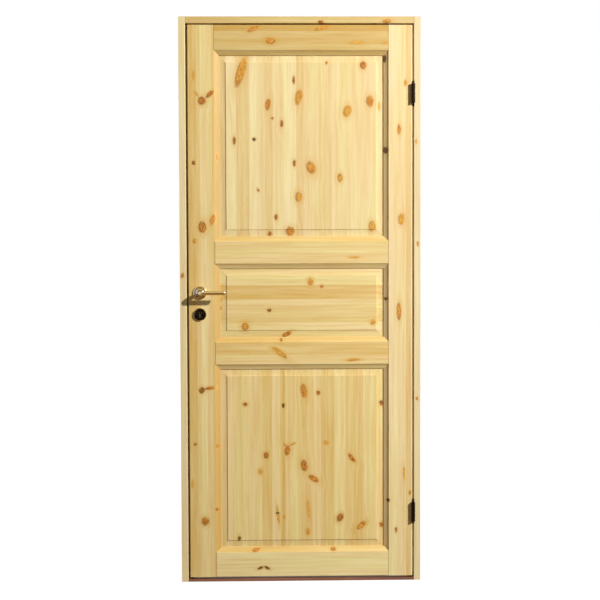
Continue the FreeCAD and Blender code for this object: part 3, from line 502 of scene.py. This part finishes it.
class DOOR_OT_panels(bpy.types.Operator):
    """Finish the three raised panels, glued up from staves of knotty pine"""
    bl_idname = "door.panels"
    bl_label = "Raised panels"

    def execute(self, context):
        arris = context.scene.door_wood.arris
        upper = pine(
            "Knotty pine, upper panel", True,
            [(-721, 0.54), (-682, 0.25), (-634, 0.64), (-605, 0.2), (-575, 0.38), (-546, 0.6),
             (-506, 0.38), (-461, 0.2), (-432, 0.62), (-377, 0.4), (-329, 0.52), (-292, 0.38),
             (-241, 0.38), (-197, 0.4), (-162, 0.4), (-136, 0.55)],
            [(-662, 1888, 16, 58, 17, 0.42), (-467, 1859, 5, 15, 0, 0.62), (-562, 1769, 10, 22, 8, 0.5),
             (-449, 1796, 13, 29, 12, 0.42), (-546, 1719, 5, 6, 0, 0.62), (-512, 1699, 6, 14, 0, 0.66),
             (-346, 1922, 5, 6, 0, 0.6), (-211, 1913, 12, 16, 0, 0.6), (-186, 1781, 14, 21, 0, 0.46),
             (-270, 1745, 15, 23, 18, 0.36), (-152, 1763, 5, 14, 0, 0.3), (-687, 1637, 6, 15, 0, 0.58),
             (-614, 1642, 7, 6, 0, 0.95), (-466, 1554, 6, 13, 0, 0.58), (-450, 1429, 13, 19, 0, 0.4),
             (-600, 1455, 5, 7, -30, 0.55), (-534, 1355, 7, 10, 0, 0.6), (-482, 1303, 17, 17, 0, 0.46),
             (-557, 1294, 8, 8, 0, 0.66), (-404, 1537, 17, 24, -22, 0.44), (-297, 1500, 10, 16, 0, 0.42),
             (-179, 1321, 13, 20, 0, 0.36)], start=1.9, tint_and_shade_share=0.07)
        lower = pine(
            "Knotty pine, lower panel", True,
            [(-721, 0.44), (-702, 0.3), (-665, 0.48), (-591, 0.4), (-554, 0.68), (-524, 0.34),
             (-514, 0.62), (-506, 0.84), (-487, 0.5), (-446, 0.44), (-402, 0.5), (-372, 0.42),
             (-320, 0.64), (-279, 0.34), (-216, 0.6), (-162, 0.38), (-136, 0.5)],
            [(-651, 661, 9, 7, 0, 0.68), (-510, 656, 6, 9, 0, 0.8), (-433, 710, 12, 27, -10, 0.46),
             (-380, 703, 7, 9, 0, 0.6), (-574, 470, 10, 12, 0, 0.62), (-495, 488, 11, 19, 8, 0.48),
             (-474, 512, 4, 11, 60, 0.4), (-504, 508, 4, 8, -35, 0.4), (-433, 431, 13, 21, -10, 0.6),
             (-398, 382, 10, 22, -56, 0.5), (-255, 458, 8, 20, -40, 0.56), (-351, 516, 9, 8, 0, 0.28),
             (-596, 409, 8, 11, 0, 0.28), (-532, 253, 7, 7, 0, 0.9), (-531, 246, 5, 34, -8, 0.3),
             (-508, 238, 4, 7, 0, 0.4), (-676, 159, 6, 10, 0, 0.8), (-299, 235, 12, 17, 30, 0.62),
             (-219, 206, 10, 22, 52, 0.46), (-145, 207, 8, 9, 0, 0.56), (-145, 663, 8, 10, 0, 0.7),
             (-418, 266, 6, 34, -5, 0.16), (-420, 183, 7, 13, 0, 0.3)], start=5.5)
        middle = pine(
            "Knotty pine, middle panel", False,
            [(933, 0.44), (966, 0.32), (996, 0.58), (1029, 0.5), (1051, 0.32), (1103, 0.74), (1171, 0.28)],
            [(-650, 951, 14, 15, 0, 0.44), (-560, 1011, 6, 8, 90, 0.75), (-496, 922, 8, 19, 62, 0.58),
             (-408, 1116, 10, 13, 0, 0.32), (-366, 1098, 6, 6, 0, 0.55), (-176, 965, 9, 9, 0, 0.36),
             (-745, 1049, 7, 7, 0, 0.35), (-743, 1020, 7, 7, 0, 0.32)], start=3.7)
        for node, material in (("upper_panel", upper), ("lower_panel", lower), ("middle_panel", middle)):
            dress(node, material, arris)
        return {"FINISHED"}


class DOOR_OT_threshold(bpy.types.Operator):
    """Finish the threshold in oiled hardwood"""
    bl_idname = "door.threshold"
    bl_label = "Threshold"

    def execute(self, context):
        # Merbau, planed and oiled: a dark red-brown board with short dark pores along the grain
        material = bpy.data.materials.new("Oiled merbau")
        material.use_nodes = True
        tree = material.node_tree
        tree.nodes.clear()
        there = add(tree, "ShaderNodeTexCoord").outputs["Object"]
        along = add(tree, "ShaderNodeMapping", {"Vector": there, "Scale": (4, 130, 130)})
        grain = add(tree, "ShaderNodeTexNoise", {"Vector": along.outputs[0], "Scale": 1.0, "Detail": 3.0})
        fine = add(tree, "ShaderNodeMapping", {"Vector": there, "Scale": (60, 1400, 1400)})
        pores = add(tree, "ShaderNodeTexNoise", {"Vector": fine.outputs[0], "Scale": 1.0, "Detail": 1.0})
        tone = add(tree, "ShaderNodeValToRGB", {0: grain.outputs[0]})
        tone.color_ramp.elements[0].position = 0.3
        tone.color_ramp.elements[0].color = colour("#6B3A26")
        tone.color_ramp.elements[1].position = 0.7
        tone.color_ramp.elements[1].color = colour("#9A6547")
        pitted = add(tree, "ShaderNodeMapRange", {0: pores.outputs[0], 1: 0.62, 2: 0.72, 3: 0.0, 4: 0.5})
        final = add(tree, "ShaderNodeMix", {0: pitted.outputs[0], 6: tone.outputs[0],
                                            7: colour("#3C1D12")}, data_type="RGBA")
        rough = add(tree, "ShaderNodeMapRange", {0: grain.outputs[0], 1: 0.3, 2: 0.7, 3: 0.42, 4: 0.55})
        bump = add(tree, "ShaderNodeBump", {"Strength": 0.2, "Distance": 0.0002, "Height": pores.outputs[0]})
        surface = add(tree, "ShaderNodeBsdfPrincipled", {
            "Base Color": final.outputs[2], "Roughness": rough.outputs[0], "Normal": bump.outputs[0]})
        add(tree, "ShaderNodeOutputMaterial", {"Surface": surface.outputs[0]})
        dress("threshold", material, context.scene.door_wood.arris)
        return {"FINISHED"}


def screw_head(work, place, outward, radius):
    """A countersunk screw head, flush with the plate that it holds."""
    turn = outward.to_track_quat("Z", "Y").to_matrix().to_4x4()
    seat = Matrix.Translation(place) @ turn
    disc = bmesh.ops.create_circle(work, cap_ends=True, segments=20, radius=radius, matrix=seat)
    face = disc["verts"][0].link_faces[0]
    # The recess for the driver: the middle of the disc, sunk 0.6 mm
    bmesh.ops.inset_individual(work, faces=[face], thickness=radius * 0.5, depth=0.0)
    bmesh.ops.translate(work, verts=face.verts, vec=-outward * 0.0006)
    # The skirt, 0.8 mm deep, and the face that closes it; earlier heads have no open edges left
    rim = [edge for edge in work.edges if edge.is_boundary]
    skirt = bmesh.ops.extrude_edge_only(work, edges=rim)["geom"]
    bmesh.ops.translate(work, verts=[v for v in skirt if isinstance(v, bmesh.types.BMVert)],
                        vec=-outward * 0.0008)
    bmesh.ops.contextual_create(work, geom=[e for e in skirt if isinstance(e, bmesh.types.BMEdge)])


def screws(name, places, outward, material, body):
    """A row of screws that hold one plate."""
    work = bmesh.new()
    for place in places:
        screw_head(work, Vector(place), Vector(outward), SCREW_RADIUS)
    bmesh.ops.recalc_face_normals(work, faces=work.faces)
    return finish_mesh(name, work, material, body, 50)


class DOOR_OT_hinges(bpy.types.Operator):
    """Finish the two lift-off hinges in browned steel and screw their flaps on"""
    bl_idname = "door.hinges"
    bl_label = "Hinges"

    def execute(self, context):
        # Rolled steel, browned and waxed: nearly black, with a warm soft highlight along each knuckle
        steel = metal("Browned steel", context.scene.door_metal.hinge, 0.3)
        for name in ("upper_hinge", "lower_hinge"):
            for half, side in (("frame_half", 1), ("door_half", -1)):
                node = f"{name}_{half}"
                dress(node, steel, HINGE_ARRIS)
                # The flap is let in flush, so its screws sit on the face of the wood that carries it
                low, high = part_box(node)
                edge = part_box("hinge_jamb")[0].x if side > 0 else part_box("hinge_stile")[1].x
                places = [(edge - side * 0.0001, high.y - inset, (low.z + high.z) / 2 + z)
                          for inset, z in ((0.009, -0.036), (0.015, 0.0), (0.009, 0.036))]
                screws(f"{node}_screws", places, (-side, 0, 0), steel, body_of(node))
        return {"FINISHED"}


class DOOR_OT_lock(bpy.types.Operator):
    """Finish the lock case, its plates and bolts, and screw the plates on"""
    bl_idname = "door.lock"
    bl_label = "Lock"

    def execute(self, context):
        # Cold-rolled steel, zinc plated: pale grey, with fine upright brushing
        steel = metal("Zinc-plated steel", context.scene.door_metal.lock, 0.28, (1, 1, 0.08), 0.12)
        for node in ("lock_case", "lock_face_plate", "strike_plate", "latch_bolt", "dead_bolt", "spindle"):
            dress(node, steel, PLATE_ARRIS)
        # The levers inside the case, which close the view through the keyholes; their near-black colour is
        # painted shade, for the dark inside of the keyholes
        dark = metal("Lock levers, near-black painted shade", colour("#15120F"), 0.7)
        eye = (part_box("front_key_escutcheon")[0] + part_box("back_key_escutcheon")[1]) / 2
        work = bmesh.new()
        bmesh.ops.create_cube(work, size=1.0, matrix=Matrix.Translation(eye) @ Matrix.Diagonal(
            (0.012, 0.004, 0.024, 1)))
        finish_mesh("lock_levers", work, dark, body_of("lock_case"))
        for node, outward in (("lock_face_plate", -1), ("strike_plate", 1)):
            low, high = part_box(node)
            surface = low.x if outward < 0 else high.x
            places = [(surface + outward * 0.0001, (low.y + high.y) / 2, z)
                      for z in (low.z + 0.008, high.z - 0.008)]
            screws(f"{node}_screws", places, (outward, 0, 0), steel, body_of(node))
        return {"FINISHED"}


def lever_bar(node, side, tip_round, material):
    """A round bar that leaves its rose, bends once and runs level to a rounded tip."""
    low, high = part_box(node)
    radius = (high.z - low.z) / 2
    start = high.y if side < 0 else low.y
    grip = low.y + radius if side < 0 else high.y - radius
    bend = 0.013  # radius of the bend, at the middle of the bar
    height = SPINDLE.z
    work = bmesh.new()
    seat = Matrix.Translation((SPINDLE.x, start, height)) @ Matrix.Rotation(math.radians(90), 4, "X")
    bmesh.ops.create_circle(work, cap_ends=False, segments=40, radius=radius, matrix=seat)
    foot = list(work.edges)

    def run(loop, step):
        """Draw a loop of edges out by a step, and give the loop at the far end."""
        made = bmesh.ops.extrude_edge_only(work, edges=loop)["geom"]
        bmesh.ops.translate(work, verts=[v for v in made if isinstance(v, bmesh.types.BMVert)], vec=step)
        return [e for e in made if isinstance(e, bmesh.types.BMEdge)]

    edges = run(foot, (0, grip - side * bend - start, 0))
    centre = (SPINDLE.x + bend, grip - side * bend, height)
    made = bmesh.ops.spin(work, geom=edges, cent=centre, axis=(0, 0, side), dvec=(0, 0, 0),
                          angle=-math.pi / 2, steps=14, use_merge=False)
    edges = [e for e in made["geom_last"] if isinstance(e, bmesh.types.BMEdge)]
    edges = run(edges, (high.x - SPINDLE.x - bend, 0, 0))
    cap = bmesh.ops.contextual_create(work, geom=edges)["faces"]
    bmesh.ops.contextual_create(work, geom=foot)
    bmesh.ops.bevel(work, geom=list(cap[0].edges), offset=tip_round, offset_type="OFFSET", segments=8,
                    profile=0.5, affect="EDGES", material=-1)
    bmesh.ops.remove_doubles(work, verts=work.verts, dist=1e-6)
    bmesh.ops.recalc_face_normals(work, faces=work.faces)
    piece = finish_mesh(node + "_bar", work, material, body_of(node))
    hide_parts(node)


def turned_rose(node, side, material):
    """A rose turned on a lathe: a rounded rim, a shallow dish and a raised collar round the lever."""
    low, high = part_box(node)
    thickness, radius = high.y - low.y, (high.x - low.x) / 2
    base = low.y if side > 0 else high.y
    # (distance from the axis, height over the door), as shares of the radius and the thickness
    outline = [(1, 0), (1, 0.42), (0.985, 0.62), (0.94, 0.78), (0.87, 0.86), (0.78, 0.84), (0.68, 0.72),
               (0.6, 0.66), (0.54, 0.7), (0.5, 0.84), (0.47, 0.96), (0.43, 1), (0.37, 1), (0.33, 0.96),
               (0.32, 0.86), (0.32, 0)]
    work = bmesh.new()
    corners = [work.verts.new((SPINDLE.x + r * radius, base + side * out * thickness, SPINDLE.z))
               for r, out in outline]
    edges = [work.edges.new(pair) for pair in zip(corners, corners[1:] + corners[:1])]
    bmesh.ops.spin(work, geom=edges, cent=(SPINDLE.x, base, SPINDLE.z), axis=(0, 1, 0), dvec=(0, 0, 0),
                   angle=math.tau, steps=56, use_merge=True)
    bmesh.ops.recalc_face_normals(work, faces=work.faces)
    piece = finish_mesh(node + "_turned", work, material, body_of(node), 40)
    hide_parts(node)


class DOOR_OT_handles(bpy.types.Operator):
    """Finish the levers, their roses and the key escutcheons in polished chrome"""
    bl_idname = "door.handles"
    bl_label = "Handles"

    def execute(self, context):
        settings = context.scene.door_metal
        # Brass, polished and chromium plated: a clear mirror with faint finger marks
        chrome = metal("Polished chrome", settings.chrome, 0.06, smudge=0.08)
        for side, face in ((-1, "front"), (1, "back")):
            lever_bar(f"{face}_lever", side, settings.tip_round, chrome)
            turned_rose(f"{face}_rose", side, chrome)
            dress(f"{face}_key_escutcheon", chrome, ESCUTCHEON_ARRIS)
        return {"FINISHED"}


def seen_directly(tree):
    """1 where the camera, a polished surface or clear glass sees the place, and 0 for its light."""
    path = add(tree, "ShaderNodeLightPath").outputs
    seen = add(tree, "ShaderNodeMath", {0: path["Is Camera Ray"], 1: path["Is Glossy Ray"]},
               operation="MAXIMUM")
    return add(tree, "ShaderNodeMath", {0: seen.outputs[0], 1: path["Is Transmission Ray"]},
               operation="MAXIMUM").outputs[0]


def stage_square(name, size, place=(0, 0, 0), tilt=0):
    """A flat square of the stage, with its place in its mesh."""
    work = bmesh.new()
    bmesh.ops.create_grid(work, x_segments=1, y_segments=1, size=size,
                          matrix=Matrix.Translation(place) @ Matrix.Rotation(math.radians(tilt), 4, "X"))
    mesh = bpy.data.meshes.new(name)
    work.to_mesh(mesh)
    work.free()
    square = bpy.data.objects.new(name, mesh)
    bpy.context.scene.collection.objects.link(square)
    return square


class DOOR_OT_stage(bpy.types.Operator):
    """Set the pale floor, the lamps, the white surroundings and the camera"""
    bl_idname = "door.stage"
    bl_label = "Stage"

    def execute(self, context):
        scene = context.scene
        scene.view_settings.view_transform = "Standard"
        camera_data = bpy.data.cameras.new("Camera")
        camera_data.lens = 84.0
        camera_data.sensor_width = 36.0
        camera_data.clip_end = 100
        camera = bpy.data.objects.new("Camera", camera_data)
        camera.location = (-0.573, -5.219, 1.272)
        camera.rotation_euler = [math.radians(a) for a in (87.53, 0.187, -1.407)]
        scene.collection.objects.link(camera)
        scene.camera = camera

        aim = Vector((-0.445, LEAF_FACE, 1.045))
        for name, away, distance, size, watts in (
                ("Key lamp", (0.70, -0.585, 0.44), 6.2, 0.28, 535.0),
                ("Back lamp", (-0.5, 0.75, 0.42), 6.2, 1.6, 330.0)):
            lamp_data = bpy.data.lights.new(name, "AREA")
            lamp_data.shape = "DISK"
            lamp_data.size = size
            lamp_data.energy = watts
            lamp = bpy.data.objects.new(name, lamp_data)
            away = Vector(away).normalized()
            lamp.location = aim + away * distance
            lamp.rotation_euler = away.to_track_quat("Z", "Y").to_euler()
            scene.collection.objects.link(lamp)

        # Half a millimetre under the door, so that the two don't share a surface
        floor = stage_square("floor", 14, (0, 0, -0.0005))
        material = bpy.data.materials.new("White studio floor")
        material.use_nodes = True
        tree = material.node_tree
        tree.nodes.clear()
        # Close to the door the floor keeps its shadow, and further off it turns white
        there = add(tree, "ShaderNodeTexCoord").outputs["Object"]
        away = add(tree, "ShaderNodeVectorMath", {0: there, 1: (-0.445, 0.0, 0.0)}, operation="DISTANCE")
        fade = add(tree, "ShaderNodeMapRange", {0: away.outputs["Value"], 1: 0.5, 2: 1.7, 3: 0.92, 4: 1.0},
                   interpolation_type="SMOOTHSTEP")
        glow = add(tree, "ShaderNodeMath", {0: seen_directly(tree), 1: fade.outputs[0]},
                   operation="MULTIPLY")
        surface = add(tree, "ShaderNodeBsdfPrincipled", {
            "Base Color": colour("#6E6E6E"), "Roughness": 0.9, "Specular IOR Level": 0.0,
            "Emission Color": (1, 1, 1, 1), "Emission Strength": glow.outputs[0]})
        add(tree, "ShaderNodeOutputMaterial", {"Surface": surface.outputs[0]})
        floor.data.materials.append(material)

        # The room that only polished metal shows: dark behind the camera, brown below, cream above
        for name, base, place, size, tilt, glow in (
                ("dark_wall", "#1C1712", (-0.8, -7.5, 1.3), 1.7, 90, 0.0),
                ("brown_floor", "#8A6228", (-0.5, -3.5, 0.02), 3.4, 0, 0.6),
                ("cream_ceiling", "#F0D896", (-0.5, -4.0, 3.7), 4.0, 180, 1.0)):
            card = stage_square(name, size, place, tilt)
            for ray in ("camera", "diffuse", "transmission", "shadow", "volume_scatter"):
                setattr(card, "visible_" + ray, False)
            material = bpy.data.materials.new(f"Studio card, {name}")
            material.use_nodes = True
            tree = material.node_tree
            tree.nodes.clear()
            cloth = add(tree, "ShaderNodeBsdfPrincipled", {
                "Base Color": colour(base), "Roughness": 1.0, "Specular IOR Level": 0.0,
                "Emission Color": colour(base), "Emission Strength": glow})
            add(tree, "ShaderNodeOutputMaterial", {"Surface": cloth.outputs[0]})
            card.data.materials.append(material)

        world = bpy.data.worlds.new("White studio")
        scene.world = world
        world.use_nodes = True
        tree = world.node_tree
        tree.nodes.clear()
        seen = seen_directly(tree)
        strength = add(tree, "ShaderNodeMapRange", {0: seen, 3: 0.16, 4: 1.0})
        # The fill that the walls of a room return is a little warm
        tint = add(tree, "ShaderNodeMix", {0: seen, 6: (1, 0.92, 0.82, 1), 7: (1, 1, 1, 1)},
                   data_type="RGBA")
        shine = add(tree, "ShaderNodeBackground", {"Color": tint.outputs[2], "Strength": strength.outputs[0]})
        add(tree, "ShaderNodeOutputWorld", {"Surface": shine.outputs[0]})
        return {"FINISHED"}


class DOOR_PT_sidebar(bpy.types.Panel):
    """The door's finishing steps, in order"""
    bl_idname = "DOOR_PT_sidebar"
    bl_label = "Knotty pine door"
    bl_space_type = "VIEW_3D"
    bl_region_type = "UI"
    bl_category = "Door"

    def draw(self, context):
        for settings in (context.scene.door_wood, context.scene.door_metal):
            column = self.layout.column()
            for name in settings.__annotations__:
                column.prop(settings, name)
        for step in STEPS:
            self.layout.operator(step.bl_idname)


STEPS = (DOOR_OT_frame_boards, DOOR_OT_leaf_boards, DOOR_OT_panels, DOOR_OT_threshold, DOOR_OT_hinges,
         DOOR_OT_lock, DOOR_OT_handles, DOOR_OT_stage)
CLASSES = (DoorWoodSettings, DoorMetalSettings) + STEPS + (DOOR_PT_sidebar,)


def register():
    for cls in CLASSES:
        bpy.utils.register_class(cls)
    bpy.types.Scene.door_wood = bpy.props.PointerProperty(type=DoorWoodSettings)
    bpy.types.Scene.door_metal = bpy.props.PointerProperty(type=DoorMetalSettings)


def unregister():
    del bpy.types.Scene.door_wood
    del bpy.types.Scene.door_metal
    for cls in reversed(CLASSES):
        bpy.utils.unregister_class(cls)


def main():
    register()
    bpy.ops.door.frame_boards()
    bpy.ops.door.leaf_boards()
    bpy.ops.door.panels()
    bpy.ops.door.threshold()
    bpy.ops.door.hinges()
    bpy.ops.door.lock()
    bpy.ops.door.handles()
    bpy.ops.door.stage()
    bpy.context.view_layer.update()


if __name__ == "__main__":
    main()
